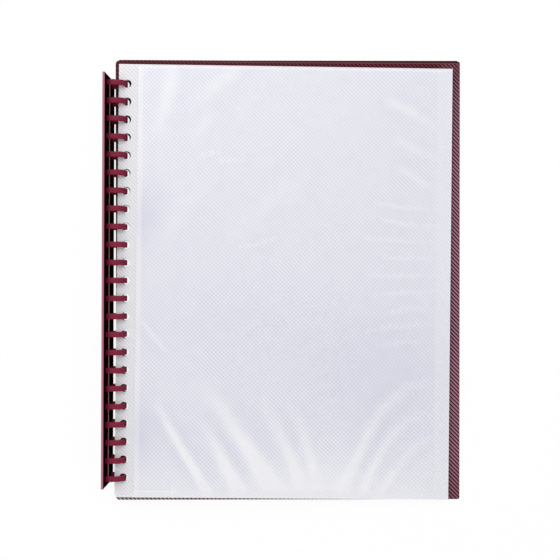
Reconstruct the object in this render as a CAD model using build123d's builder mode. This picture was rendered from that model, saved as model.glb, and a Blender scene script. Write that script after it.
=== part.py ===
from build123d import *
import os
from math import asin, atan2, cos, radians, sin, sqrt

# Clear pocket display book: pocket leaves and two covers on a comb of closed plastic rings.
# It lies on a table with its front cover folded round behind its back cover. The spine rail stands
# upright, the sheets hang on the rings and slope down until the far edge meets the table.
# X runs across the page away from the spine, Y up the page and Z up from the table. The origin is the
# middle of the spine rail's foot. Every sheet turns about the rings' own axis. Lengths are millimetres.

# Ring comb
ring_count = 23
ring_pitch = 12.7
finger_width = 3.9
finger_thickness = 1.3
ring_radius = 7.0
ring_reach = 13.6
strip_thickness = 0.8
strip_length = 287.0
strip_height = 8.2
bead_radius = 0.9

# Spine rail, which slides along the comb and locks the finger tips
rail_length = 291.0
rail_wall = 1.6
rail_lip = 5.5
rail_edge_radius = 0.5
hook_wall = 0.6
rail_gap = 0.15
bead_gap = 0.1
finger_over_hook = 0.2
groove_depth = 0.6
groove_gap = 0.15
tip_gap = 0.15

# Covers
cover_width = 245.7
cover_height = 313.9
cover_thickness = 0.8
cover_spine_corner = 2.8
cover_free_corner = 1.2
cover_rise = 0.55
cover_hole_to_edge = 7.0
back_cover_skew = 0.1
front_cover_skew = 0.32

# Pocket leaves, each of two films welded along three sides and open at the top
leaf_count = 8
leaf_width = 237.4
leaf_height = 307.3
leaf_drop = 0.05
leaf_hole_to_edge = 6.05
leaf_skew = -0.42
film_thickness = 0.12
binding_margin = 13.9
mouth_step = 1.2
leaf_foot_corner = 2.5

# Punched holes, and the spaces between the stacked sheets
hole_radius = 2.9
shown_hole_sides = 12
hidden_hole_sides = 6
leaf_gap = 0.18
cover_gap = 0.3
top_leaf_level = 2.0

# Places that follow from the sizes above
wall_face = rail_wall / 2
hook_inner = bead_radius + bead_gap
hook_outer = hook_inner + hook_wall
neck_gap = strip_thickness / 2 + rail_gap
bead_x = wall_face + neck_gap
bead_z = hook_outer
hook_top = bead_z + sqrt(hook_outer**2 - neck_gap**2)
finger_inner = ring_radius - finger_thickness
ring_line = ring_radius - finger_thickness / 2
axis_x = wall_face + ring_reach - ring_radius
axis_z = hook_top + finger_over_hook + ring_radius
rail_height = axis_z + ring_radius + rail_lip
tip_x = wall_face - groove_depth + tip_gap
leaf_pitch = 2 * film_thickness + leaf_gap

# Each sheet's middle plane, measured up from the ring axis
leaf_levels = [top_leaf_level - leaf_pitch * step for step in range(leaf_count)]
back_cover_level = leaf_levels[-1] - film_thickness - cover_gap - cover_thickness / 2
front_cover_level = back_cover_level - cover_thickness - cover_gap

# The sheets slope so that the front cover's far corner meets the table
front_turn = radians(front_cover_skew)
far_edge = (cover_width - cover_hole_to_edge) * cos(front_turn)
far_corner = (cover_height / 2 - cover_rise) * sin(front_turn)
front_reach = sqrt(ring_line**2 - front_cover_level**2) + far_edge + far_corner
underside = cover_thickness / 2 - front_cover_level
slope = asin(axis_z / sqrt(front_reach**2 + underside**2)) - atan2(underside, front_reach)
along_sheet = Vector(cos(slope), 0, -sin(slope))
out_of_sheet = Vector(sin(slope), 0, cos(slope))
ring_axis = Vector(axis_x, 0, axis_z)


def sheet_plane(level, skew):
    """The plane of a sheet, centred on its row of holes where the rings pass through that level."""
    hole_line = sqrt(ring_line**2 - level**2)
    centre = ring_axis + along_sheet * hole_line + out_of_sheet * level
    return Plane(centre, x_dir=along_sheet, z_dir=out_of_sheet).rotated((0, 0, skew))


os.makedirs("parts", exist_ok=True)

# One ring finger: from the strip under the leaves, round through the holes and back to the rail
with BuildPart() as finger:
    with BuildSketch(Plane.XZ) as finger_outline:
        with BuildLine():
            Line((bead_x, axis_z - ring_radius), (axis_x, axis_z - ring_radius))
            CenterArc((axis_x, axis_z), ring_radius, -90, 180)
            Line((axis_x, axis_z + ring_radius), (tip_x, axis_z + ring_radius))
            Line((tip_x, axis_z + ring_radius), (tip_x, axis_z + finger_inner))
            Line((tip_x, axis_z + finger_inner), (axis_x, axis_z + finger_inner))
            CenterArc((axis_x, axis_z), finger_inner, 90, -180)
            Line((axis_x, axis_z - finger_inner), (bead_x, axis_z - finger_inner))
            Line((bead_x, axis_z - finger_inner), (bead_x, axis_z - ring_radius))
        make_face()
    extrude(amount=finger_width / 2, both=True)

# Ring comb: a strip with a round bead along its foot and the row of fingers, moulded in one
with BuildPart() as ring_comb:
    with BuildSketch(Plane.XZ) as strip_outline:
        with Locations((bead_x, bead_z)):
            Rectangle(strip_thickness, strip_height, align=(Align.CENTER, Align.MIN))
            Circle(bead_radius)
    extrude(amount=strip_length / 2, both=True)
    with GridLocations(ring_pitch, ring_pitch, 1, ring_count):
        add(finger.part)
ring_comb.part.label = "ring_comb"
export_step(ring_comb.part, "parts/ring_comb.step")

# Spine rail: an upright wall with a hooked foot round the bead and a groove for the finger tips
with BuildPart() as spine_rail:
    with BuildSketch(Plane.XZ) as rail_outline:
        Rectangle(rail_wall, rail_height, align=(Align.CENTER, Align.MIN))
        fillet(rail_outline.vertices().group_by(Axis.Y)[-1], rail_edge_radius)
        with Locations((bead_x, bead_z)):
            Circle(hook_outer)
            Circle(hook_inner, mode=Mode.SUBTRACT)
            Rectangle(2 * neck_gap, strip_height, align=(Align.CENTER, Align.MIN), mode=Mode.SUBTRACT)
        with Locations((wall_face, axis_z + ring_line)):
            Rectangle(2 * groove_depth, finger_thickness + 2 * groove_gap, mode=Mode.SUBTRACT)
    extrude(amount=rail_length / 2, both=True)
spine_rail.part.label = "spine_rail"
export_step(spine_rail.part, "parts/spine_rail.step")

# Covers: two alike sheets, the front one folded round behind the back one
covers = [
    ("back_cover", back_cover_level, back_cover_skew),
    ("front_cover", front_cover_level, front_cover_skew),
]
for cover_name, level, skew in covers:
    with BuildPart() as cover:
        with BuildSketch(sheet_plane(level, skew)) as cover_outline:
            with Locations((cover_width / 2 - cover_hole_to_edge, cover_rise)):
                Rectangle(cover_width, cover_height)
            fillet(cover_outline.vertices().sort_by(Axis.X)[:2], cover_spine_corner)
            fillet(cover_outline.vertices().sort_by(Axis.X)[-2:], cover_free_corner)
            with GridLocations(ring_pitch, ring_pitch, 1, ring_count):
                RegularPolygon(hole_radius, shown_hole_sides, major_radius=False, mode=Mode.SUBTRACT)
        extrude(amount=cover_thickness / 2, both=True)
    cover.part.label = cover_name
    export_step(cover.part, f"parts/{cover_name}.step")

# Pocket leaves, numbered from the top: a punched back film with a front film welded on it.
# The hidden leaves' holes have fewer faces than those that show.
for number, level in enumerate(leaf_levels, start=1):
    leaf_name = f"leaf_{number:02d}"
    hole_sides = shown_hole_sides if number == 1 else hidden_hole_sides
    with BuildPart() as back_film:
        with BuildSketch(sheet_plane(level, leaf_skew)) as back_outline:
            with Locations((leaf_width / 2 - leaf_hole_to_edge, -leaf_drop)):
                Rectangle(leaf_width, leaf_height)
            spine_corners = back_outline.vertices().sort_by(Axis.X)[:2]
            fillet(spine_corners.sort_by(Axis.Y)[0], leaf_foot_corner)
            with GridLocations(ring_pitch, ring_pitch, 1, ring_count):
                RegularPolygon(hole_radius, hole_sides, major_radius=False, mode=Mode.SUBTRACT)
        extrude(amount=-film_thickness)
    back_film.part.label = f"{leaf_name}_back_film"
    export_step(back_film.part, f"parts/{leaf_name}_back_film.step")

    with BuildPart() as front_film:
        with BuildSketch(sheet_plane(level, leaf_skew)) as front_outline:
            with Locations((binding_margin - leaf_hole_to_edge, -leaf_drop - leaf_height / 2)):
                Rectangle(
                    leaf_width - binding_margin,
                    leaf_height - mouth_step,
                    align=(Align.MIN, Align.MIN),
                )
        extrude(amount=film_thickness)
    front_film.part.label = f"{leaf_name}_front_film"
    export_step(front_film.part, f"parts/{leaf_name}_front_film.step")
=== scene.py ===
import math

import bmesh
import bpy
import numpy as np
from mathutils import Matrix, Vector


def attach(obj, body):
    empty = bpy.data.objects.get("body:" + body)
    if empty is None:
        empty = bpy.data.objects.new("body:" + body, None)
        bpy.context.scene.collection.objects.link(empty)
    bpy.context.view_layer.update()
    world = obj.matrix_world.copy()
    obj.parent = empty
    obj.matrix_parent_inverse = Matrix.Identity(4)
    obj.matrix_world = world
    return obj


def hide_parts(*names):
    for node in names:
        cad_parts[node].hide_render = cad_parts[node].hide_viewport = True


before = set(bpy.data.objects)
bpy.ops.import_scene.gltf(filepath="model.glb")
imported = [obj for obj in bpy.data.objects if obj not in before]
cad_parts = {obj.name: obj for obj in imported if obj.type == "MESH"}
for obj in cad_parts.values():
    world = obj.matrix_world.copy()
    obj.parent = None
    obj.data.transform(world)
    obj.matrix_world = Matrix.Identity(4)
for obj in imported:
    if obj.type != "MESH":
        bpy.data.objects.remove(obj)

# Table top, light and camera. The book lies on a plain white table under a large soft light, and the
# camera looks straight down on it. The table shows white to the camera and still takes soft shadows.
TABLE_HALF = 3.0
TABLE_DROP = 0.0002
TABLE_WHITE_SHARE = 0.92
BOOK_MIDDLE = Vector((0.12, 0.0, 0.0))

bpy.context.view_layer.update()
scene = bpy.context.scene
scene.view_settings.view_transform = "Standard"
scene.cycles.transparent_max_bounces = 64
scene.cycles.diffuse_bounces = 8

table_mesh = bpy.data.meshes.new("table_top")
table_corners = [(x * TABLE_HALF, y * TABLE_HALF, 0.0) for x, y in ((-1, -1), (1, -1), (1, 1), (-1, 1))]
table_mesh.from_pydata(table_corners, [], [(0, 1, 2, 3)])
table = bpy.data.objects.new("table_top", table_mesh)
scene.collection.objects.link(table)
table.location.z = -TABLE_DROP

table_paint = bpy.data.materials.new("table_white")
table_paint.use_nodes = True
nodes = table_paint.node_tree.nodes
links = table_paint.node_tree.links
nodes.clear()
table_out = nodes.new("ShaderNodeOutputMaterial")
table_diffuse = nodes.new("ShaderNodeBsdfDiffuse")
table_diffuse.inputs["Color"].default_value = (0.9, 0.9, 0.9, 1)
table_glow = nodes.new("ShaderNodeEmission")
table_glow.inputs["Color"].default_value = (1, 1, 1, 1)
table_glow.inputs["Strength"].default_value = 1.0
table_rays = nodes.new("ShaderNodeLightPath")
table_gloss = nodes.new("ShaderNodeMath")
table_gloss.operation = "MAXIMUM"
table_clear = nodes.new("ShaderNodeMath")
table_clear.operation = "MAXIMUM"
table_seen = nodes.new("ShaderNodeMath")
table_seen.operation = "MULTIPLY"
table_seen.inputs[1].default_value = TABLE_WHITE_SHARE
table_mix = nodes.new("ShaderNodeMixShader")
links.new(table_rays.outputs["Is Camera Ray"], table_gloss.inputs[0])
links.new(table_rays.outputs["Is Glossy Ray"], table_gloss.inputs[1])
links.new(table_gloss.outputs[0], table_clear.inputs[0])
links.new(table_rays.outputs["Is Transmission Ray"], table_clear.inputs[1])
links.new(table_clear.outputs[0], table_seen.inputs[0])
links.new(table_seen.outputs[0], table_mix.inputs["Fac"])
links.new(table_diffuse.outputs[0], table_mix.inputs[1])
links.new(table_glow.outputs[0], table_mix.inputs[2])
links.new(table_mix.outputs[0], table_out.inputs["Surface"])
table_mesh.materials.append(table_paint)

studio = bpy.data.worlds.new("studio")
studio.use_nodes = True
studio.node_tree.nodes["Background"].inputs["Color"].default_value = (1, 1, 1, 1)
studio.node_tree.nodes["Background"].inputs["Strength"].default_value = 0.775
scene.world = studio

softbox_lamp = bpy.data.lights.new("softbox", "AREA")
softbox_lamp.shape = "RECTANGLE"
softbox_lamp.size = 1.4
softbox_lamp.size_y = 1.0
softbox_lamp.energy = 13.1
softbox = bpy.data.objects.new("softbox", softbox_lamp)
softbox.location = (-0.55, 0.75, 1.25)
softbox.rotation_euler = (BOOK_MIDDLE - softbox.location).to_track_quat("-Z", "Y").to_euler()
scene.collection.objects.link(softbox)

camera_data = bpy.data.cameras.new("camera")
camera_data.sensor_width = 36.0
camera_data.lens = 50.37
camera_data.clip_start = 0.01
camera = bpy.data.objects.new("camera", camera_data)
camera.location = (0.1316, -0.0005, 0.5661)
camera.rotation_euler = (math.radians(0.128), math.radians(0.859), math.radians(0.198))
scene.collection.objects.link(camera)
scene.camera = camera


# Covers. Two sheets of maroon polypropylene, embossed on both faces with fine slanting ribs and punched
# along the spine edge. The front cover is folded round to lie under the back cover.
RIB_PITCH = 0.00203
RIB_SLANT = math.radians(45.0)
RING_COUNT = 23
RING_PITCH = 0.0127
RING_MIDDLE = 0.00635
AXIS_X = 0.0074
AXIS_Z = 0.0103025
HOLE_RADIUS = 0.0029
COVER_WIDTH = 0.2457
COVER_HEIGHT = 0.3139
COVER_THICKNESS = 0.0008
COVER_RISE = 0.00055
COVER_HOLE_TO_EDGE = 0.007
COVER_SPINE_CORNER = 0.0028
COVER_FREE_CORNER = 0.0012
COVER_RIB_HEIGHT = 0.00012
COVER_SKEWS = {"front_cover": 0.32, "back_cover": 0.1}
CREST_INSET = 0.00005
RIB_STRIPS = 6
RIB_SPLITS = 12
PUNCH_SIDES = 32
CORNER_STEPS = 8
# Half a slanted slab that covers a sheet, as a share of the sheet's width and height together
SLAB_SHARE = 0.36
CREST_COLOUR = (0.16, 0.022, 0.037)
# Painted sheen colour for the crests along the free edge
SHEEN_COLOUR = (0.42, 0.195, 0.265)
CUT_COLOUR = (0.6, 0.45, 0.48)
GROOVE_COLOUR = (0.026, 0.0036, 0.006)
PALE_LINE_COLOUR = (0.17, 0.05, 0.06)
# Painted shadow colour for the line along the top edge
SHADOW_LINE_COLOUR = (0.03, 0.0, 0.002)
FADED_COLOUR = (0.012, 0.001, 0.003)

# Nodes for a punched sheet in its own plane: a row of round holes is cut in its outline plate, and a slab
# with ribs across it is trimmed to that. The rib attribute is 1 on a crest and 0 in a groove, and from_top
# is the distance from the sheet's top edge.
sheet_tree = bpy.data.node_groups.new("punched_ribbed_sheet", "GeometryNodeTree")
sheet_sockets = {}
for socket_name, socket_type in (
    ("Outline", "NodeSocketGeometry"),
    ("Thickness", "NodeSocketFloat"),
    ("Rib Pitch", "NodeSocketFloat"),
    ("Rib Height", "NodeSocketFloat"),
    ("Rib Slant", "NodeSocketFloat"),
    ("Rib Strips", "NodeSocketInt"),
    ("Rib Splits", "NodeSocketInt"),
    ("Rib Count", "NodeSocketInt"),
    ("Hole Radius", "NodeSocketFloat"),
    ("Hole Pitch", "NodeSocketFloat"),
    ("Hole Count", "NodeSocketInt"),
    ("Finish", "NodeSocketMaterial"),
):
    sheet_sockets[socket_name] = sheet_tree.interface.new_socket(
        socket_name, in_out="INPUT", socket_type=socket_type
    )
sheet_tree.interface.new_socket("Sheet", in_out="OUTPUT", socket_type="NodeSocketGeometry")
given = sheet_tree.nodes.new("NodeGroupInput")
result = sheet_tree.nodes.new("NodeGroupOutput")


def tree_math(tree, operation, first, second=None):
    """One sum in a tree of geometry nodes, on sockets or plain numbers."""
    node = tree.nodes.new("ShaderNodeMath")
    node.operation = operation
    for socket, value in zip(node.inputs, (first, second)):
        if isinstance(value, (int, float)):
            socket.default_value = value
        elif value is not None:
            tree.links.new(value, socket)
    return node.outputs[0]


def sheet_math(operation, first, second=None):
    """One sum in the sheet's nodes."""
    return tree_math(sheet_tree, operation, first, second)


def even_row(tree, count, pitch):
    """A row of points along Y at an even pitch, centred on the origin."""
    before_middle = tree_math(tree, "MULTIPLY", tree_math(tree, "SUBTRACT", count, 1), -0.5)
    row_start = tree.nodes.new("ShaderNodeCombineXYZ")
    tree.links.new(tree_math(tree, "MULTIPLY", before_middle, pitch), row_start.inputs["Y"])
    row_step = tree.nodes.new("ShaderNodeCombineXYZ")
    tree.links.new(pitch, row_step.inputs["Y"])
    row = tree.nodes.new("GeometryNodeMeshLine")
    row.mode = "OFFSET"
    tree.links.new(count, row.inputs["Count"])
    tree.links.new(row_start.outputs[0], row.inputs["Start Location"])
    tree.links.new(row_step.outputs[0], row.inputs["Offset"])
    return row.outputs["Mesh"]


slab_width = sheet_math("MULTIPLY", given.outputs["Rib Count"], given.outputs["Rib Pitch"])
slab_size = sheet_tree.nodes.new("ShaderNodeCombineXYZ")
sheet_tree.links.new(slab_width, slab_size.inputs["X"])
sheet_tree.links.new(slab_width, slab_size.inputs["Y"])
sheet_tree.links.new(given.outputs["Thickness"], slab_size.inputs["Z"])
slab = sheet_tree.nodes.new("GeometryNodeMeshCube")
strip_count = sheet_math("MULTIPLY", given.outputs["Rib Count"], given.outputs["Rib Strips"])
sheet_tree.links.new(slab_size.outputs[0], slab.inputs["Size"])
sheet_tree.links.new(sheet_math("ADD", strip_count, 1), slab.inputs["Vertices X"])
sheet_tree.links.new(sheet_math("ADD", given.outputs["Rib Splits"], 1), slab.inputs["Vertices Y"])
slab.inputs["Vertices Z"].default_value = 2
slab_point = sheet_tree.nodes.new("GeometryNodeInputPosition")
slab_parts = sheet_tree.nodes.new("ShaderNodeSeparateXYZ")
sheet_tree.links.new(slab_point.outputs[0], slab_parts.inputs[0])
rib_turn = sheet_math(
    "MULTIPLY", sheet_math("DIVIDE", slab_parts.outputs["X"], given.outputs["Rib Pitch"]), 2 * math.pi
)
rib_fall = sheet_math("MULTIPLY", sheet_math("SUBTRACT", sheet_math("COSINE", rib_turn), 1), 0.5)
rib_side = sheet_math("MULTIPLY", sheet_math("SIGN", slab_parts.outputs["Z"]), given.outputs["Rib Height"])
rib_move = sheet_tree.nodes.new("ShaderNodeCombineXYZ")
sheet_tree.links.new(sheet_math("MULTIPLY", rib_fall, rib_side), rib_move.inputs["Z"])
ribbed = sheet_tree.nodes.new("GeometryNodeSetPosition")
sheet_tree.links.new(slab.outputs["Mesh"], ribbed.inputs["Geometry"])
sheet_tree.links.new(rib_move.outputs[0], ribbed.inputs["Offset"])
slanted = sheet_tree.nodes.new("GeometryNodeTransform")
slant_turn = sheet_tree.nodes.new("ShaderNodeCombineXYZ")
sheet_tree.links.new(given.outputs["Rib Slant"], slant_turn.inputs["Z"])
sheet_tree.links.new(ribbed.outputs[0], slanted.inputs["Geometry"])
sheet_tree.links.new(slant_turn.outputs[0], slanted.inputs["Rotation"])
outline_middle = sheet_tree.nodes.new("GeometryNodeBoundBox")
middle_sum = sheet_tree.nodes.new("ShaderNodeVectorMath")
middle_sum.operation = "ADD"
middle = sheet_tree.nodes.new("ShaderNodeVectorMath")
middle.operation = "SCALE"
middle.inputs["Scale"].default_value = 0.5
sheet_tree.links.new(given.outputs["Outline"], outline_middle.inputs[0])
sheet_tree.links.new(outline_middle.outputs["Min"], middle_sum.inputs[0])
sheet_tree.links.new(outline_middle.outputs["Max"], middle_sum.inputs[1])
sheet_tree.links.new(middle_sum.outputs[0], middle.inputs[0])
sheet_tree.links.new(middle.outputs[0], slanted.inputs["Translation"])
hole_row = even_row(sheet_tree, given.outputs["Hole Count"], given.outputs["Hole Pitch"])
punch = sheet_tree.nodes.new("GeometryNodeMeshCylinder")
punch.inputs["Vertices"].default_value = PUNCH_SIDES
sheet_tree.links.new(given.outputs["Hole Radius"], punch.inputs["Radius"])
sheet_tree.links.new(sheet_math("MULTIPLY", given.outputs["Thickness"], 5), punch.inputs["Depth"])
punches = sheet_tree.nodes.new("GeometryNodeInstanceOnPoints")
sheet_tree.links.new(hole_row, punches.inputs["Points"])
sheet_tree.links.new(punch.outputs["Mesh"], punches.inputs["Instance"])
real_punches = sheet_tree.nodes.new("GeometryNodeRealizeInstances")
sheet_tree.links.new(punches.outputs[0], real_punches.inputs[0])
punched = sheet_tree.nodes.new("GeometryNodeMeshBoolean")
punched.operation = "DIFFERENCE"
punched.solver = "EXACT"
sheet_tree.links.new(given.outputs["Outline"], punched.inputs["Mesh 1"])
sheet_tree.links.new(real_punches.outputs[0], punched.inputs["Mesh 2"])
trimmed = sheet_tree.nodes.new("GeometryNodeMeshBoolean")
trimmed.operation = "INTERSECT"
trimmed.solver = "EXACT"
sheet_tree.links.new(slanted.outputs[0], trimmed.inputs["Mesh 2"])
sheet_tree.links.new(punched.outputs["Mesh"], trimmed.inputs["Mesh 2"])
sheet_point = sheet_tree.nodes.new("GeometryNodeInputPosition")
sheet_parts = sheet_tree.nodes.new("ShaderNodeSeparateXYZ")
sheet_tree.links.new(sheet_point.outputs[0], sheet_parts.inputs[0])
half_thickness = sheet_math("MULTIPLY", given.outputs["Thickness"], 0.5)
groove = sheet_math("SUBTRACT", half_thickness, given.outputs["Rib Height"])
above_groove = sheet_math("SUBTRACT", sheet_math("ABSOLUTE", sheet_parts.outputs["Z"]), groove)
rib_marked = sheet_tree.nodes.new("GeometryNodeStoreNamedAttribute")
rib_marked.data_type = "FLOAT"
rib_marked.domain = "POINT"
rib_marked.inputs["Name"].default_value = "rib"
sheet_tree.links.new(trimmed.outputs["Mesh"], rib_marked.inputs["Geometry"])
rib_share = sheet_math("DIVIDE", above_groove, given.outputs["Rib Height"])
sheet_tree.links.new(rib_share, rib_marked.inputs["Value"])
outline_top = sheet_tree.nodes.new("ShaderNodeSeparateXYZ")
sheet_tree.links.new(outline_middle.outputs["Max"], outline_top.inputs[0])
top_marked = sheet_tree.nodes.new("GeometryNodeStoreNamedAttribute")
top_marked.data_type = "FLOAT"
top_marked.domain = "POINT"
top_marked.inputs["Name"].default_value = "from_top"
below_top = sheet_math("SUBTRACT", outline_top.outputs["Y"], sheet_parts.outputs["Y"])
sheet_tree.links.new(below_top, top_marked.inputs["Value"])
sheet_tree.links.new(rib_marked.outputs[0], top_marked.inputs["Geometry"])
real_sheet = sheet_tree.nodes.new("GeometryNodeRealizeInstances")
sheet_coloured = sheet_tree.nodes.new("GeometryNodeSetMaterial")
sheet_tree.links.new(top_marked.outputs[0], real_sheet.inputs[0])
sheet_tree.links.new(real_sheet.outputs[0], sheet_coloured.inputs["Geometry"])
sheet_tree.links.new(given.outputs["Finish"], sheet_coloured.inputs["Material"])
sheet_tree.links.new(sheet_coloured.outputs[0], result.inputs[0])


def rounded_plate(name, low, high, corners, thickness):
    """A plate between two corners of the sheet's plane, with a radius for each of its four corners."""
    outline = []
    for place, radius in enumerate(corners):
        right = place in (0, 3)
        top = place in (0, 1)
        centre_x = high[0] - radius if right else low[0] + radius
        centre_y = high[1] - radius if top else low[1] + radius
        steps = CORNER_STEPS if radius else 0
        for step in range(steps + 1):
            turn = math.pi / 2 * (place + step / max(1, steps))
            outline.append((centre_x + radius * math.cos(turn), centre_y + radius * math.sin(turn)))
    plate = bmesh.new()
    under = [plate.verts.new((x, y, -thickness)) for x, y in outline]
    over = [plate.verts.new((x, y, thickness)) for x, y in outline]
    for step in range(len(outline)):
        after = (step + 1) % len(outline)
        plate.faces.new((under[step], under[after], over[after], over[step]))
    plate.faces.new(over)
    plate.faces.new(list(reversed(under)))
    bmesh.ops.recalc_face_normals(plate, faces=plate.faces)
    plate_mesh = bpy.data.meshes.new(name)
    plate.to_mesh(plate_mesh)
    plate.free()
    plate_object = bpy.data.objects.new(name, plate_mesh)
    scene.collection.objects.link(plate_object)
    return plate_object


def sheet_place(node_name, thickness, skew):
    """A sheet's place and turn, from its CAD node: its plane, with the origin where the rings pass it."""
    upper = max(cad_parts[node_name].data.polygons, key=lambda face: face.normal.z * face.area)
    out = upper.normal.copy()
    along = Vector((0.0, 1.0, 0.0)).cross(out).normalized()
    axis = Vector((AXIS_X, 0.0, AXIS_Z))
    level = (upper.center - axis).dot(out) - thickness / 2
    hole_line = math.sqrt(RING_MIDDLE**2 - level**2)
    origin = axis + along * hole_line + out * level
    turn = Matrix((along, Vector((0.0, 1.0, 0.0)), out)).transposed().to_4x4()
    return Matrix.Translation(origin) @ turn @ Matrix.Rotation(math.radians(skew), 4, "Z")


def ribbed_mesh(plate, thickness, rib_height, finish, holes=RING_COUNT, strips=RIB_STRIPS, splits=RIB_SPLITS):
    """A ribbed and punched sheet cut from a plate, in its own plane."""
    slab_half = SLAB_SHARE * (plate.dimensions.x + plate.dimensions.y)
    settings = {
        "Thickness": thickness,
        "Rib Pitch": RIB_PITCH,
        "Rib Height": rib_height,
        "Rib Slant": RIB_SLANT,
        "Rib Strips": strips,
        "Rib Splits": splits,
        "Rib Count": 2 * math.ceil(slab_half / RIB_PITCH),
        "Hole Radius": HOLE_RADIUS,
        "Hole Pitch": RING_PITCH,
        "Hole Count": holes,
        "Finish": finish,
    }
    cutting = plate.modifiers.new("punched_sheet", "NODES")
    cutting.node_group = sheet_tree
    for socket_name, value in settings.items():
        cutting[sheet_sockets[socket_name].identifier] = value
    bpy.context.view_layer.update()
    cut = plate.evaluated_get(bpy.context.evaluated_depsgraph_get())
    sheet_mesh = bpy.data.meshes.new_from_object(cut)
    plate.modifiers.remove(cutting)
    bpy.data.objects.remove(plate)
    return sheet_mesh


def lay_sheet(name, sheet_mesh, place, body, node_name):
    """Set a sheet in its place on a body, where it stands in for a CAD node."""
    sheet_mesh.transform(place)
    sheet = bpy.data.objects.new(name, sheet_mesh)
    scene.collection.objects.link(sheet)
    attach(sheet, body)
    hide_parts(node_name)


def new_finish(name, roughness):
    """A new material, with its nodes and its shader."""
    finish = bpy.data.materials.new(name)
    finish.use_nodes = True
    shader = finish.node_tree.nodes["Principled BSDF"]
    shader.inputs["Roughness"].default_value = roughness
    return finish, finish.node_tree, shader


def object_place(tree):
    """The place on an object, whole and as its X, Y and Z."""
    where = tree.nodes.new("ShaderNodeTexCoord")
    parts = tree.nodes.new("ShaderNodeSeparateXYZ")
    tree.links.new(where.outputs["Object"], parts.inputs[0])
    return where.outputs["Object"], parts.outputs


def mesh_value(tree, name):
    """A value that is stored on the mesh."""
    stored = tree.nodes.new("ShaderNodeAttribute")
    stored.attribute_name = name
    return stored.outputs["Fac"]


def clouds(tree, place, scale, detail):
    """A cloudy value from 0 to 1."""
    cloud = tree.nodes.new("ShaderNodeTexNoise")
    cloud.inputs["Scale"].default_value = scale
    cloud.inputs["Detail"].default_value = detail
    tree.links.new(place, cloud.inputs["Vector"])
    return cloud.outputs["Fac"]


def soft_step(tree, value, start, end):
    """A soft step of a value, 0 at start and 1 at end."""
    step = tree.nodes.new("ShaderNodeMapRange")
    step.interpolation_type = "SMOOTHSTEP"
    step.inputs["From Min"].default_value = start
    step.inputs["From Max"].default_value = end
    tree.links.new(value, step.inputs["Value"])
    return step.outputs[0]


def join(tree, operation, first, second):
    """Join two values, or a value and a plain number."""
    sum_node = tree.nodes.new("ShaderNodeMath")
    sum_node.operation = operation
    tree.links.new(first, sum_node.inputs[0])
    if isinstance(second, float):
        sum_node.inputs[1].default_value = second
    else:
        tree.links.new(second, sum_node.inputs[1])
    return sum_node.outputs[0]


def blend(tree, amount, first, second):
    """Mix two colours, each from a node or plain, by a value."""
    mix = tree.nodes.new("ShaderNodeMix")
    mix.data_type = "RGBA"
    tree.links.new(amount, mix.inputs[0])
    for socket, colour in ((mix.inputs[6], first), (mix.inputs[7], second)):
        if isinstance(colour, tuple):
            socket.default_value = (*colour, 1)
        else:
            tree.links.new(colour, socket)
    return mix.outputs[2]


def fine_relief(tree, height, strength):
    """A fine bump on a finish."""
    bump = tree.nodes.new("ShaderNodeBump")
    bump.inputs["Strength"].default_value = strength
    bump.inputs["Distance"].default_value = 0.0001
    tree.links.new(height, bump.inputs["Height"])
    tree.links.new(bump.outputs[0], tree.nodes["Principled BSDF"].inputs["Normal"])


cover_finish, tree, plastic = new_finish("ribbed_maroon_sheet", 0.55)
plastic.inputs["Specular IOR Level"].default_value = 0.1
place, place_parts = object_place(tree)
rib = mesh_value(tree, "rib")
from_top = mesh_value(tree, "from_top")
# Painted sheen: the crests are painted paler along the free edge, as light glancing off it, but less by its
# corners
free_edge = soft_step(tree, place_parts["X"], 0.234, 0.243)
below_corner = soft_step(tree, place_parts["Y"], 0.2, 0.09)
above_corner = soft_step(tree, place_parts["Y"], -0.2, -0.11)
painted_sheen = join(tree, "MULTIPLY", free_edge, join(tree, "MULTIPLY", below_corner, above_corner))
crest = blend(tree, painted_sheen, CREST_COLOUR, SHEEN_COLOUR)
# At the foot the crests' cut ends show pale under the leaves, so that the edge looks dashed
foot_row = soft_step(tree, from_top, COVER_HEIGHT - 0.002, COVER_HEIGHT - 0.0012)
foot_edge = join(tree, "MULTIPLY", foot_row, soft_step(tree, place_parts["X"], 0.243, 0.238))
cut_crest = blend(tree, foot_edge, crest, CUT_COLOUR)
sharp_rib = soft_step(tree, rib, 0.1, 0.9)
ribbed_tint = blend(tree, sharp_rib, GROOVE_COLOUR, cut_crest)
# A painted shadow line along the top edge, with a paler band below it, that grows towards the free edge
line_grows = soft_step(tree, place_parts["X"], 0.02, 0.14)
pale_line = join(tree, "MULTIPLY", soft_step(tree, from_top, 0.0019, 0.0015), line_grows)
shadow_line = join(tree, "MULTIPLY", soft_step(tree, from_top, 0.001, 0.0007), line_grows)
pale_tint = blend(tree, pale_line, ribbed_tint, PALE_LINE_COLOUR)
shadow_lined_tint = blend(tree, shadow_line, pale_tint, SHADOW_LINE_COLOUR)
faded = join(tree, "MULTIPLY", clouds(tree, place, 35.0, 3.0), 0.25)
tree.links.new(blend(tree, faded, shadow_lined_tint, FADED_COLOUR), plastic.inputs["Base Color"])
fine_relief(tree, clouds(tree, place, 1500.0, 2.0), 0.08)

cover_low = (-COVER_HOLE_TO_EDGE, COVER_RISE - COVER_HEIGHT / 2)
cover_high = (COVER_WIDTH - COVER_HOLE_TO_EDGE, COVER_RISE + COVER_HEIGHT / 2)
cover_corners = (COVER_FREE_CORNER, COVER_SPINE_CORNER, COVER_SPINE_CORNER, COVER_FREE_CORNER)
cover_solid = COVER_THICKNESS - 2 * CREST_INSET
for cover_name, cover_skew in COVER_SKEWS.items():
    cover_plate = rounded_plate("cover_plate", cover_low, cover_high, cover_corners, COVER_THICKNESS)
    cover_mesh = ribbed_mesh(cover_plate, cover_solid, COVER_RIB_HEIGHT, cover_finish)
    cover_place = sheet_place(cover_name, COVER_THICKNESS, cover_skew)
    lay_sheet(f"ribbed_{cover_name}", cover_mesh, cover_place, cover_name, cover_name)


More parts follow.
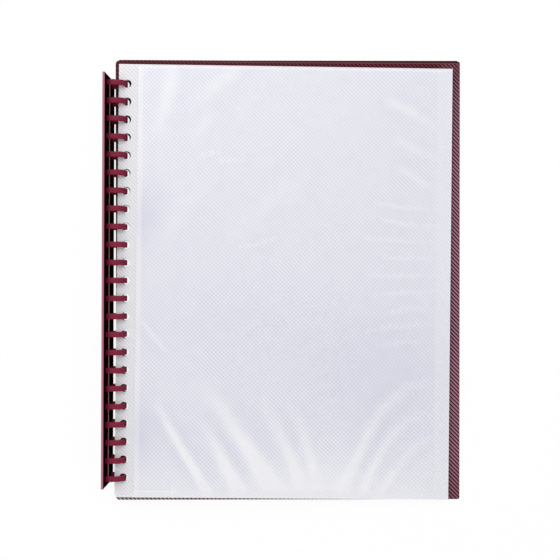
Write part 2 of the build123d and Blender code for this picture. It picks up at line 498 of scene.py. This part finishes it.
# Ring comb. A strip of maroon plastic with a round bead along its foot, moulded in one with a row of flat
# fingers that bend round through the punched holes. The mould leaves every edge of a finger rounded.
FINGER_WIDTH = 0.0039
FINGER_THICKNESS = 0.0013
FINGER_EDGE = 0.00045
BEAD_X = 0.00135
BEAD_Z = 0.0016
TIP_X = 0.00035
STRIP_THICKNESS = 0.0008
STRIP_LENGTH = 0.287
STRIP_HEIGHT = 0.0082
BEAD_RADIUS = 0.0009
STRIP_EDGE = 0.00025
ARM_END = 0.003
BEND_STEPS = 24
EDGE_STEPS = 3
BEAD_STEPS = 16
STRIP_EDGE_STEPS = 4
# Where the colours change: page side of the strip, foot of its top edge, and a place above it
STRIP_FACE = 0.002
STRIP_SHOULDER = 0.0095
STRIP_CLEAR = 0.0107
SOFT = 0.0001
FINGER_COLOURS = ((0.165, 0.01, 0.03), (0.225, 0.02, 0.05))
# Painted shade colour for the strip
STRIP_SHADE_COLOUR = (0.02, 0.001, 0.003)
# Painted highlight colour for the strip's top edge
STRIP_HIGHLIGHT_COLOUR = (0.5, 0.27, 0.31)

comb_finish, tree, plastic = new_finish("moulded_maroon", 0.55)
place, place_parts = object_place(tree)
flow = clouds(tree, place, 60.0, 2.0)
finger_tint = blend(tree, flow, *FINGER_COLOURS)
# The strip below its top edge is painted dark as shade, and its top edge is painted pale as a highlight
strip_part = soft_step(tree, place_parts["X"], STRIP_FACE + SOFT, STRIP_FACE - SOFT)
below_shoulder = soft_step(tree, place_parts["Z"], STRIP_SHOULDER + SOFT, STRIP_SHOULDER - SOFT)
above_shoulder = soft_step(tree, place_parts["Z"], STRIP_SHOULDER - SOFT, STRIP_SHOULDER + SOFT)
below_clear = soft_step(tree, place_parts["Z"], STRIP_CLEAR + SOFT, STRIP_CLEAR - SOFT)
strip_shade = join(tree, "MULTIPLY", strip_part, below_shoulder)
strip_highlight = join(tree, "MULTIPLY", join(tree, "MULTIPLY", strip_part, above_shoulder), below_clear)
strip_tint = blend(tree, strip_shade, finger_tint, STRIP_SHADE_COLOUR)
tree.links.new(blend(tree, strip_highlight, strip_tint, STRIP_HIGHLIGHT_COLOUR), plastic.inputs["Base Color"])
finger_part = soft_step(tree, place_parts["X"], STRIP_FACE - SOFT, STRIP_FACE + SOFT)
tree.links.new(join(tree, "MULTIPLY", finger_part, 0.12), plastic.inputs["Specular IOR Level"])
fine_relief(tree, clouds(tree, place, 900.0, 2.0), 0.15)

# The finger's middle line, from the strip along its lower arm, round the ring and back to the rail
finger_line = [
    (BEAD_X, AXIS_Z - RING_MIDDLE, 0.0),
    (AXIS_X - ARM_END, AXIS_Z - RING_MIDDLE, 0.0),
]
for step in range(BEND_STEPS + 1):
    turn = -math.pi / 2 + math.pi * step / BEND_STEPS
    finger_line.append(
        (AXIS_X + RING_MIDDLE * math.cos(turn), AXIS_Z + RING_MIDDLE * math.sin(turn), turn + math.pi / 2)
    )
finger_line.append((AXIS_X - ARM_END, AXIS_Z + RING_MIDDLE, math.pi))
finger_line.append((TIP_X, AXIS_Z + RING_MIDDLE, math.pi))

# A flat bar's cross-section with rounded edges: along the width, then through the thickness
bar = []
for corner in range(4):
    wide = (1, -1, -1, 1)[corner] * (FINGER_WIDTH / 2 - FINGER_EDGE)
    thick = (1, 1, -1, -1)[corner] * (FINGER_THICKNESS / 2 - FINGER_EDGE)
    for step in range(EDGE_STEPS + 1):
        turn = math.pi / 2 * (corner + step / EDGE_STEPS)
        bar.append((wide + FINGER_EDGE * math.cos(turn), thick + FINGER_EDGE * math.sin(turn)))

finger_build = bmesh.new()
rounds = []
for x, z, heading in finger_line:
    out_x = math.sin(heading)
    out_z = -math.cos(heading)
    rounds.append(
        [finger_build.verts.new((x + thick * out_x, wide, z + thick * out_z)) for wide, thick in bar]
    )
for first, second in zip(rounds, rounds[1:]):
    for step in range(len(bar)):
        after = (step + 1) % len(bar)
        finger_build.faces.new((first[step], first[after], second[after], second[step]))
finger_build.faces.new(rounds[0])
finger_build.faces.new(rounds[-1])
bmesh.ops.recalc_face_normals(finger_build, faces=finger_build.faces)
for face in finger_build.faces:
    face.smooth = len(face.verts) == 4
finger_mesh = bpy.data.meshes.new("ring_finger")
finger_build.to_mesh(finger_mesh)
finger_build.free()
finger = bpy.data.objects.new("ring_finger", finger_mesh)
scene.collection.objects.link(finger)

# The strip's outline: round the bead, up the table side and back down the page side
neck = math.asin(STRIP_THICKNESS / 2 / BEAD_RADIUS)
strip_edge = []
for step in range(BEAD_STEPS + 1):
    turn = math.pi / 2 - neck - (2 * math.pi - 2 * neck) * step / BEAD_STEPS
    strip_edge.append((BEAD_X + BEAD_RADIUS * math.cos(turn), BEAD_Z + BEAD_RADIUS * math.sin(turn)))
for side, first_turn in ((-1, math.pi), (1, math.pi / 2)):
    corner_x = BEAD_X + side * (STRIP_THICKNESS / 2 - STRIP_EDGE)
    corner_z = BEAD_Z + STRIP_HEIGHT - STRIP_EDGE
    for step in range(STRIP_EDGE_STEPS + 1):
        turn = first_turn - math.pi / 2 * step / STRIP_EDGE_STEPS
        strip_edge.append((corner_x + STRIP_EDGE * math.cos(turn), corner_z + STRIP_EDGE * math.sin(turn)))
strip_build = bmesh.new()
near_end = [strip_build.verts.new((x, -STRIP_LENGTH / 2, z)) for x, z in strip_edge]
far_end = [strip_build.verts.new((x, STRIP_LENGTH / 2, z)) for x, z in strip_edge]
for step in range(len(strip_edge)):
    after = (step + 1) % len(strip_edge)
    strip_build.faces.new((near_end[step], near_end[after], far_end[after], far_end[step]))
strip_build.faces.new(near_end)
strip_build.faces.new(far_end)
bmesh.ops.recalc_face_normals(strip_build, faces=strip_build.faces)
strip_mesh = bpy.data.meshes.new("comb_strip")
strip_build.to_mesh(strip_mesh)
strip_build.free()
strip = bpy.data.objects.new("comb_strip", strip_mesh)
scene.collection.objects.link(strip)

# A row of fingers at an even pitch along the spine, joined to the strip
comb_tree = bpy.data.node_groups.new("finger_row", "GeometryNodeTree")
comb_tree.interface.new_socket("Strip", in_out="INPUT", socket_type="NodeSocketGeometry")
count_socket = comb_tree.interface.new_socket("Count", in_out="INPUT", socket_type="NodeSocketInt")
pitch_socket = comb_tree.interface.new_socket("Pitch", in_out="INPUT", socket_type="NodeSocketFloat")
finger_socket = comb_tree.interface.new_socket("Finger", in_out="INPUT", socket_type="NodeSocketObject")
finish_socket = comb_tree.interface.new_socket("Finish", in_out="INPUT", socket_type="NodeSocketMaterial")
comb_tree.interface.new_socket("Comb", in_out="OUTPUT", socket_type="NodeSocketGeometry")
given = comb_tree.nodes.new("NodeGroupInput")
result = comb_tree.nodes.new("NodeGroupOutput")
row = even_row(comb_tree, given.outputs["Count"], given.outputs["Pitch"])
shape = comb_tree.nodes.new("GeometryNodeObjectInfo")
placed = comb_tree.nodes.new("GeometryNodeInstanceOnPoints")
together = comb_tree.nodes.new("GeometryNodeJoinGeometry")
real = comb_tree.nodes.new("GeometryNodeRealizeInstances")
coloured = comb_tree.nodes.new("GeometryNodeSetMaterial")
comb_tree.links.new(given.outputs["Finger"], shape.inputs["Object"])
comb_tree.links.new(row, placed.inputs["Points"])
comb_tree.links.new(shape.outputs["Geometry"], placed.inputs["Instance"])
comb_tree.links.new(given.outputs["Strip"], together.inputs[0])
comb_tree.links.new(placed.outputs["Instances"], together.inputs[0])
comb_tree.links.new(together.outputs[0], real.inputs[0])
comb_tree.links.new(real.outputs[0], coloured.inputs["Geometry"])
comb_tree.links.new(given.outputs["Finish"], coloured.inputs["Material"])
comb_tree.links.new(coloured.outputs[0], result.inputs[0])
row_modifier = strip.modifiers.new("finger_row", "NODES")
row_modifier.node_group = comb_tree
row_modifier[count_socket.identifier] = RING_COUNT
row_modifier[pitch_socket.identifier] = RING_PITCH
row_modifier[finger_socket.identifier] = finger
row_modifier[finish_socket.identifier] = comb_finish
bpy.context.view_layer.update()
whole = strip.evaluated_get(bpy.context.evaluated_depsgraph_get())
comb_mesh = bpy.data.meshes.new_from_object(whole)
strip.modifiers.remove(row_modifier)
comb = bpy.data.objects.new("moulded_ring_comb", comb_mesh)
scene.collection.objects.link(comb)
bpy.data.objects.remove(strip)
bpy.data.objects.remove(finger)
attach(comb, "comb")
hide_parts("ring_comb")


# Spine rail. An extruded maroon wall whose hooked foot slides along the comb's bead, with a groove near
# its top edge that closes the rings. The extruder leaves faint lines along its length.
RAIL_WALL_COLOURS = ((0.085, 0.008, 0.016), (0.13, 0.018, 0.03))
# Painted shade colour for the inner face
RAIL_SHADE_COLOUR = (0.012, 0.0005, 0.001)
# Painted highlight colour for the top edge
RAIL_HIGHLIGHT_COLOUR = (0.39, 0.165, 0.21)

rail_finish, tree, plastic = new_finish("extruded_maroon", 0.5)
place, place_parts = object_place(tree)
stretch = tree.nodes.new("ShaderNodeMapping")
stretch.inputs["Scale"].default_value = (1.0, 0.01, 1.0)
tree.links.new(place, stretch.inputs["Vector"])
drawn_lines = clouds(tree, stretch.outputs[0], 1800.0, 2.0)
wall_tint = blend(tree, drawn_lines, *RAIL_WALL_COLOURS)
# Its inner face is painted dark as shade, and its top edge is painted pale as a highlight
inner_face = soft_step(tree, place_parts["X"], 0.0003, 0.0006)
below_edge = soft_step(tree, place_parts["Z"], 0.0225, 0.0221)
shaded_tint = blend(tree, join(tree, "MULTIPLY", inner_face, below_edge), wall_tint, RAIL_SHADE_COLOUR)
top_highlight = soft_step(tree, place_parts["Z"], 0.0222, 0.0226)
tree.links.new(blend(tree, top_highlight, shaded_tint, RAIL_HIGHLIGHT_COLOUR), plastic.inputs["Base Color"])
outer_face = soft_step(tree, place_parts["X"], -0.0005, -0.0007)
tree.links.new(join(tree, "MULTIPLY", outer_face, 0.35), plastic.inputs["Specular IOR Level"])
fine_relief(tree, drawn_lines, 0.2)
rail_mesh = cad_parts["spine_rail"].data
rail_mesh.materials.clear()
rail_mesh.materials.append(rail_finish)


# Pocket leaves under the top one. Each is two clear polypropylene films with fine embossed ribs, the ribs
# of the back film slanting the other way. A stack of them looks milky white and hides the cover.
LEAF_COUNT = 8
HIDDEN_PALE = (0.992, 0.992, 1.0)
HIDDEN_FRONT_SHADE = (0.972, 0.972, 0.998)
HIDDEN_BACK_SHADE = (0.965, 0.965, 0.995)
HIDDEN_COVER = 0.25


def slanting_ribs(tree, across):
    """A wave from 0 to 1 whose crests run down to the right, or up to the right when across is -1."""
    _, place_parts = object_place(tree)
    slant = join(tree, "ADD", place_parts["X"], join(tree, "MULTIPLY", place_parts["Y"], across))
    phase = join(tree, "MULTIPLY", slant, 2 * math.pi / (RIB_PITCH * math.sqrt(2)))
    wave = tree.nodes.new("ShaderNodeMath")
    wave.operation = "SINE"
    tree.links.new(phase, wave.inputs[0])
    return join(tree, "ADD", join(tree, "MULTIPLY", wave.outputs[0], 0.5), 0.5)


def falling_ribs(tree):
    """Ribs that run down to the right, as on the covers."""
    return slanting_ribs(tree, 1.0)


def rising_ribs(tree):
    """Ribs that run up to the right, as on the far side of a pocket."""
    return slanting_ribs(tree, -1.0)


def clear_film(name, ribs_of, pale, shade, cover):
    """Film finish: pale and shade are the ribs' two colours, and cover is how much one face hides."""
    finish, tree, shader = new_finish(name, 0.3)
    ribs = ribs_of(tree)
    tint = blend(tree, ribs, shade, pale)
    tree.links.new(tint, shader.inputs["Base Color"])
    shader.inputs["Alpha"].default_value = cover
    fine_relief(tree, ribs, 0.3)
    return finish, tint


hidden_front, _ = clear_film("clear_front_film", falling_ribs, HIDDEN_PALE, HIDDEN_FRONT_SHADE, HIDDEN_COVER)
hidden_back, _ = clear_film("clear_back_film", rising_ribs, HIDDEN_PALE, HIDDEN_BACK_SHADE, HIDDEN_COVER)
for number in range(2, LEAF_COUNT + 1):
    for side, finish in (("front_film", hidden_front), ("back_film", hidden_back)):
        film_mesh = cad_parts[f"leaf_{number:02d}_{side}"].data
        film_mesh.materials.clear()
        film_mesh.materials.append(finish)


# Top leaf's back film. The punched film that hangs the pocket on the rings, a little wider than the front
# film, so that a binding strip shows beside the rings. Its foot corner at the spine is rounded.
LEAF_WIDTH = 0.2374
LEAF_HEIGHT = 0.3073
LEAF_DROP = 0.00005
LEAF_HOLE_TO_EDGE = 0.00605
LEAF_FOOT_CORNER = 0.0025
LEAF_SKEW = -0.42
FILM_THICKNESS = 0.00012
FILM_RIB_HEIGHT = 0.00003
BACK_FILM_PALE = (0.95, 0.945, 0.95)
BACK_FILM_SHADE = (0.81, 0.805, 0.85)
BACK_FILM_COVER = 0.6


def pressed_ribs(tree):
    """The ribs that are pressed into a punched sheet's own mesh."""
    return mesh_value(tree, "rib")


punched_film, _ = clear_film(
    "punched_back_film", pressed_ribs, BACK_FILM_PALE, BACK_FILM_SHADE, BACK_FILM_COVER
)
leaf_low = (-LEAF_HOLE_TO_EDGE, -LEAF_DROP - LEAF_HEIGHT / 2)
leaf_high = (LEAF_WIDTH - LEAF_HOLE_TO_EDGE, -LEAF_DROP + LEAF_HEIGHT / 2)
foot_corners = (0.0, 0.0, LEAF_FOOT_CORNER, 0.0)
back_plate = rounded_plate("back_film_plate", leaf_low, leaf_high, foot_corners, FILM_THICKNESS)
back_mesh = ribbed_mesh(back_plate, FILM_THICKNESS, FILM_RIB_HEIGHT, punched_film)
back_place = sheet_place("leaf_01_back_film", FILM_THICKNESS, LEAF_SKEW)
lay_sheet("top_back_film", back_mesh, back_place, "leaf_01", "leaf_01_back_film")


# Top leaf's front film. The film that shows, welded to its back film at the spine, foot and outer edge and
# open at the top. Handling has left it slack, with soft creases that fan out from the foot and corners.
BINDING_MARGIN = 0.0139
MOUTH_STEP = 0.0012
FRONT_WIDTH = LEAF_WIDTH - BINDING_MARGIN
FRONT_HEIGHT = LEAF_HEIGHT - MOUTH_STEP
SPINE_WELD = 0.003
FOOT_WELD = 0.0045
OUTER_WELD = 0.0095
TICK_PLACE = 0.0272
TICK_HEIGHT = 0.0125
# Half the width of a pressed line, from its middle to where it starts to show and where it is full
LINE_OUTER = 0.0006
LINE_INNER = 0.0002
FRONT_STRIPS = 3
FRONT_SPLITS = 130
FRONT_FILM_PALE = (0.975, 0.975, 0.98)
FRONT_FILM_SHADE = (0.725, 0.725, 0.865)
FRONT_FILM_COVER = 0.68
LIT_COLOUR = (0.98, 0.98, 1.0)
DIM_COLOUR = (0.695, 0.695, 0.83)
WELD_COLOUR = (0.93, 0.93, 0.96)
WHITE = (1.0, 1.0, 1.0)
RIPPLE_COUNT = 9
# A crease of this height is lit by the full ridge light, and its shaded flanks are this much wider
USUAL_RISE = 0.0005
RIDGE_LIGHT = 1.3
FLANK_SHADE = 0.5
FLANK_SPREAD = 2.6
SLACK = 0.00025
# Shares of the film's width and height over which its welds hold it down
HELD_SIDE = 0.03
HELD_FOOT = 0.02
# Each crease: points across and up the film as shares of its size, half width in metres, height in metres.
# The first ones fan out from the foot.
creases = [
    ([(0.235, 0.01), (0.195, 0.06), (0.153, 0.11), (0.1, 0.175), (0.065, 0.23)], 0.0034, 0.00075),
    ([(0.34, 0.01), (0.305, 0.055), (0.265, 0.11), (0.218, 0.18)], 0.0044, 0.00065),
    ([(0.463, 0.01), (0.41, 0.06), (0.345, 0.13), (0.283, 0.195), (0.21, 0.27)], 0.0060, 0.00060),
    ([(0.545, 0.01), (0.51, 0.075), (0.46, 0.15), (0.4, 0.23)], 0.0048, 0.00036),
    ([(0.585, 0.01), (0.565, 0.08), (0.535, 0.15), (0.495, 0.22)], 0.0044, 0.00032),
    (
        [(0.66, 0.02), (0.7, 0.08), (0.74, 0.145), (0.79, 0.21), (0.87, 0.26), (0.97, 0.272)],
        0.0042,
        0.00040,
    ),
    ([(0.73, 0.02), (0.765, 0.08), (0.81, 0.14), (0.87, 0.185), (0.96, 0.205)], 0.0036, 0.00034),
    ([(0.79, 0.02), (0.84, 0.075), (0.9, 0.125), (0.97, 0.15)], 0.0028, 0.00028),
    ([(0.112, 0.985), (0.1, 0.93), (0.075, 0.87), (0.047, 0.815)], 0.0056, 0.00028),
    ([(0.31, 0.985), (0.24, 0.95), (0.17, 0.912)], 0.0048, 0.00022),
    ([(0.24, 0.885), (0.205, 0.855), (0.165, 0.815)], 0.0042, 0.00014),
    ([(0.26, 0.8), (0.225, 0.795), (0.19, 0.784)], 0.0013, 0.00020),
    ([(0.325, 0.782), (0.28, 0.781), (0.235, 0.772)], 0.0013, 0.00020),
    ([(0.19, 0.71), (0.12, 0.64), (0.05, 0.56)], 0.0076, 0.00010),
    ([(0.5, 0.73), (0.38, 0.66), (0.25, 0.57)], 0.0080, 0.00009),
    ([(0.44, 0.603), (0.38, 0.586), (0.3, 0.578)], 0.0018, 0.00020),
    ([(0.02, 0.405), (0.07, 0.36), (0.115, 0.325)], 0.0022, 0.00030),
    ([(0.8, 0.925), (0.87, 0.9), (0.965, 0.856)], 0.0036, 0.00028),
    ([(0.83, 0.838), (0.89, 0.81), (0.965, 0.787)], 0.0030, 0.00020),
    ([(0.84, 0.768), (0.9, 0.74), (0.965, 0.717)], 0.0030, 0.00020),
]
# Small ripples down the outer edge
for ripple in range(RIPPLE_COUNT):
    height_share = 0.672 - 0.038 * ripple
    reach = 0.76 + 0.03 * math.sin(2.4 * ripple)
    bow = 0.016 * math.cos(0.45 * ripple)
    ripple_points = [(reach, height_share + bow), (0.86, height_share + 0.2 * bow), (0.97, height_share)]
    creases.append((ripple_points, 0.0016, 0.00022))
# Broad soft light and shade where the slack film swells: place across and up, spread of each, strength
swells = [
    (0.52, 0.0, 0.38, 0.1, 1.2),
    (0.45, 1.0, 0.7, 0.4, 0.22),
    (0.78, 0.3, 0.28, 0.14, -0.45),
    (0.3, 0.4, 0.3, 0.1, -0.2),
    (0.0, 0.65, 0.07, 0.07, -0.8),
    (0.0, 0.15, 0.07, 0.07, -0.8),
]


def lie_of_film(across, up):
    """How high the slack film stands above its flat rest, and how much it is lit or shaded, as arrays."""
    right = across * FRONT_WIDTH
    above = up * FRONT_HEIGHT
    lift = np.zeros_like(across)
    tone = np.zeros_like(across)
    for points, half_width, rise in creases:
        nearest = np.ones_like(across)
        along = np.zeros_like(across)
        for number, (start, end) in enumerate(zip(points, points[1:])):
            start_x, start_y = start[0] * FRONT_WIDTH, start[1] * FRONT_HEIGHT
            run_x, run_y = end[0] * FRONT_WIDTH - start_x, end[1] * FRONT_HEIGHT - start_y
            share = ((right - start_x) * run_x + (above - start_y) * run_y) / (run_x**2 + run_y**2)
            share = np.clip(share, 0.0, 1.0)
            gap = np.hypot(right - start_x - run_x * share, above - start_y - run_y * share)
            along = np.where(gap < nearest, (number + share) / (len(points) - 1), along)
            nearest = np.minimum(gap, nearest)
        fade = np.sin(math.pi * (0.25 + 0.74 * along))
        ridge = np.exp(-((nearest / half_width) ** 2)) * fade
        flank = np.exp(-((nearest / half_width / FLANK_SPREAD) ** 2)) * fade
        lift += rise * ridge
        tone += rise / USUAL_RISE * (RIDGE_LIGHT * ridge - FLANK_SHADE * flank)
    for middle_across, middle_up, spread_across, spread_up, strength in swells:
        far = ((across - middle_across) / spread_across) ** 2 + ((up - middle_up) / spread_up) ** 2
        tone += strength * np.exp(-far)
    slack = SLACK * (np.sin(9.0 * across + 4.0 * up) * np.sin(7.0 * up - 3.0 * across) + 1.0)
    held_sides = np.minimum(1.0, np.minimum(across, 1.0 - across) / HELD_SIDE)
    held = held_sides * np.minimum(1.0, up / HELD_FOOT)
    return (lift + slack) * held, np.clip(tone, -1.0, 1.0)


def crossed_ribs(tree):
    """The film's own ribs, and in patches more faintly those of the film behind it."""
    place, place_parts = object_place(tree)
    patches = soft_step(tree, clouds(tree, place, 9.0, 1.0), 0.35, 0.65)
    stronger_low = join(tree, "MULTIPLY", soft_step(tree, place_parts["Y"], 0.0, -0.12), 0.2)
    own = join(tree, "SUBTRACT", mesh_value(tree, "rib"), 0.5)
    own_shown = join(tree, "MULTIPLY", own, join(tree, "ADD", stronger_low, 0.7))
    behind = join(tree, "MULTIPLY", join(tree, "SUBTRACT", rising_ribs(tree), 0.5), 0.36)
    behind_shown = join(tree, "MULTIPLY", behind, patches)
    return join(tree, "ADD", join(tree, "ADD", own_shown, behind_shown), 0.5)


top_film_finish, rib_tint = clear_film(
    "top_front_film", crossed_ribs, FRONT_FILM_PALE, FRONT_FILM_SHADE, FRONT_FILM_COVER
)
tree = top_film_finish.node_tree
from_spine = mesh_value(tree, "from_spine")
from_foot = mesh_value(tree, "from_foot")
# Creases and swells catch the light on their ridge and shade their flanks
tone = mesh_value(tree, "tone")
place, _ = object_place(tree)
mottled = join(tree, "MULTIPLY", join(tree, "SUBTRACT", clouds(tree, place, 110.0, 3.0), 0.5), 0.5)
all_tone = join(tree, "ADD", tone, mottled)
lit_tint = blend(tree, join(tree, "MULTIPLY", all_tone, 0.85), rib_tint, LIT_COLOUR)
crease_tint = blend(tree, join(tree, "MULTIPLY", all_tone, -0.7), lit_tint, DIM_COLOUR)
# Welds press the ribs flat along the foot and outer edge, and the edges themselves look white
foot_weld = soft_step(tree, from_foot, FOOT_WELD + 0.0006, FOOT_WELD)
outer_weld = soft_step(tree, from_spine, FRONT_WIDTH - OUTER_WELD - 0.002, FRONT_WIDTH - OUTER_WELD)
side_welds = join(tree, "MULTIPLY", join(tree, "MAXIMUM", foot_weld, outer_weld), 0.35)
weld_tint = blend(tree, side_welds, crease_tint, WELD_COLOUR)
spine_weld = soft_step(tree, from_spine, SPINE_WELD + 0.0008, SPINE_WELD)
mouth = soft_step(tree, from_foot, FRONT_HEIGHT - 0.0016, FRONT_HEIGHT - 0.0008)
edges = join(tree, "MULTIPLY", join(tree, "MAXIMUM", spine_weld, mouth), 0.35)
edge_tint = blend(tree, edges, weld_tint, WHITE)
# A pressed line runs along the foot weld to a short upright tick
line_start = soft_step(tree, from_foot, FOOT_WELD - LINE_OUTER, FOOT_WELD - LINE_INNER)
line_end = soft_step(tree, from_foot, FOOT_WELD + LINE_OUTER, FOOT_WELD + LINE_INNER)
line_part = soft_step(tree, from_spine, TICK_PLACE + 0.006, TICK_PLACE)
foot_line = join(tree, "MULTIPLY", join(tree, "MULTIPLY", line_start, line_end), line_part)
tick_start = soft_step(tree, from_spine, TICK_PLACE - LINE_OUTER, TICK_PLACE - LINE_INNER)
tick_end = soft_step(tree, from_spine, TICK_PLACE + LINE_OUTER, TICK_PLACE + LINE_INNER)
tick_part = soft_step(tree, from_foot, TICK_HEIGHT, 0.6 * TICK_HEIGHT)
tick = join(tree, "MULTIPLY", join(tree, "MULTIPLY", tick_start, tick_end), tick_part)
pressed_line = join(tree, "MULTIPLY", join(tree, "MAXIMUM", foot_line, tick), 0.8)
film_tint = blend(tree, pressed_line, edge_tint, WHITE)
tree.links.new(film_tint, tree.nodes["Principled BSDF"].inputs["Base Color"])

# A little thinner than the CAD film, so that it clears the back film under it
front_solid = 0.8 * FILM_THICKNESS
front_low = (leaf_low[0] + BINDING_MARGIN, leaf_low[1])
front_high = (leaf_high[0], leaf_high[1] - MOUTH_STEP)
square_corners = (0.0, 0.0, 0.0, 0.0)
front_plate = rounded_plate("front_film_plate", front_low, front_high, square_corners, FILM_THICKNESS)
front_mesh = ribbed_mesh(
    front_plate, front_solid, FILM_RIB_HEIGHT, top_film_finish, 0, FRONT_STRIPS, FRONT_SPLITS
)
front_points = np.empty(3 * len(front_mesh.vertices))
front_mesh.vertices.foreach_get("co", front_points)
front_points = front_points.reshape(-1, 3)
shares_across = np.clip((front_points[:, 0] - front_low[0]) / FRONT_WIDTH, 0.0, 1.0)
shares_up = np.clip((front_points[:, 1] - front_low[1]) / FRONT_HEIGHT, 0.0, 1.0)
film_lift, film_tone = lie_of_film(shares_across, shares_up)
front_points[:, 2] += film_lift
front_mesh.vertices.foreach_set("co", front_points.ravel())
film_values = {
    "tone": film_tone,
    "from_spine": shares_across * FRONT_WIDTH,
    "from_foot": shares_up * FRONT_HEIGHT,
}
for value_name, values in film_values.items():
    front_mesh.attributes.new(value_name, "FLOAT", "POINT").data.foreach_set("value", values)
front_place = sheet_place("leaf_01_front_film", front_solid, LEAF_SKEW)
lay_sheet("top_front_film", front_mesh, front_place, "leaf_01", "leaf_01_front_film")
